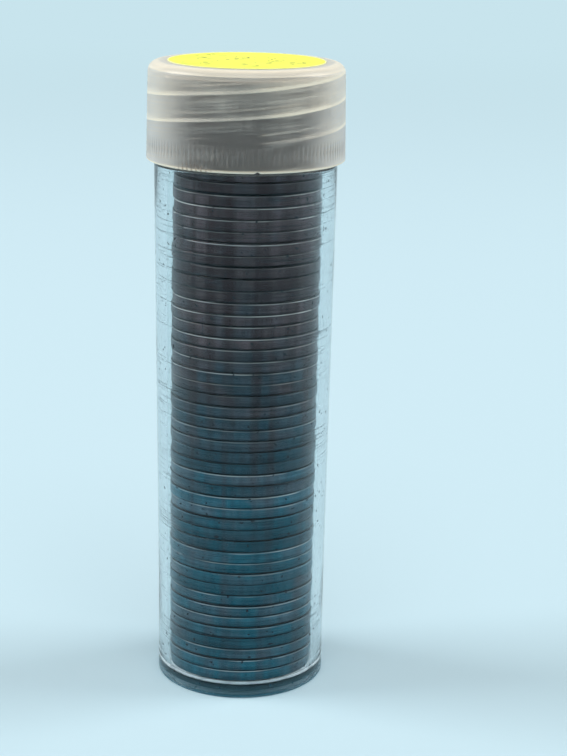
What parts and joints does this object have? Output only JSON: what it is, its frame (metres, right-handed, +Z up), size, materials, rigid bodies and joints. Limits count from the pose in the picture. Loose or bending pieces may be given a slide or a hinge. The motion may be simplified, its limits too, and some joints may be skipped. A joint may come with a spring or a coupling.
{
  "type": "screw-cap coin tube",
  "caption": "Clear straight tube with a translucent two-start screw cap, a round plain label and a full stack of coins inside.",
  "frame": {"origin": "centre of the tube's foot, on the surface that it stands on", "axes": "+Z up along the tube, towards the cap; -Y towards the viewer"},
  "size_m": [0.0252, 0.0252, 0.0819],
  "materials": {
    "clear_shell": "clear moulded polystyrene, lightly scratched",
    "cap_plastic": "natural translucent polyethylene, soft sheen",
    "label_paper": "fluorescent yellow paper, matt",
    "coin_metal": "dull zinc-coated steel with brown and blue-grey toning"
  },
  "bodies": {
    "tube": {"tube": "clear_shell"},
    "coin_stack": {"coin_01": "coin_metal", "coin_02": "coin_metal", "coin_03": "coin_metal", "coin_04": "coin_metal", "coin_05": "coin_metal", "coin_06": "coin_metal", "coin_07": "coin_metal", "coin_08": "coin_metal", "coin_09": "coin_metal", "coin_10": "coin_metal", "coin_11": "coin_metal", "coin_12": "coin_metal", "coin_13": "coin_metal", "coin_14": "coin_metal", "coin_15": "coin_metal", "coin_16": "coin_metal", "coin_17": "coin_metal", "coin_18": "coin_metal", "coin_19": "coin_metal", "coin_20": "coin_metal", "coin_21": "coin_metal", "coin_22": "coin_metal", "coin_23": "coin_metal", "coin_24": "coin_metal", "coin_25": "coin_metal", "coin_26": "coin_metal", "coin_27": "coin_metal", "coin_28": "coin_metal", "coin_29": "coin_metal", "coin_30": "coin_metal", "coin_31": "coin_metal", "coin_32": "coin_metal", "coin_33": "coin_metal", "coin_34": "coin_metal", "coin_35": "coin_metal", "coin_36": "coin_metal", "coin_37": "coin_metal", "coin_38": "coin_metal", "coin_39": "coin_metal", "coin_40": "coin_metal", "coin_41": "coin_metal", "coin_42": "coin_metal", "coin_43": "coin_metal", "coin_44": "coin_metal", "coin_45": "coin_metal", "coin_46": "coin_metal", "coin_47": "coin_metal", "coin_48": "coin_metal", "coin_49": "coin_metal", "coin_50": "coin_metal"},
    "label": {"label": "label_paper"},
    "cap": {"cap": "cap_plastic"}
  },
  "joints": [
    {"name": "coin_shift", "type": "slide", "parent": "tube", "child": "coin_stack", "axis": [0, 0, 1], "range_m": [0, 0.0035]},
    {"name": "cap_rise", "type": "slide", "parent": "tube", "child": "label", "axis": [0, 0, 1], "range_m": [0, 0.0193]},
    {"name": "cap_turn", "type": "hinge", "parent": "label", "child": "cap", "pos_m": [0, 0, 0.0755], "axis": [0, 0, 1], "range_deg": [0, 1080]}
  ],
  "couplings": [
    {"joint": "cap_rise", "follows": "cap_turn", "m_per_rad": 0.0010186}
  ]
}
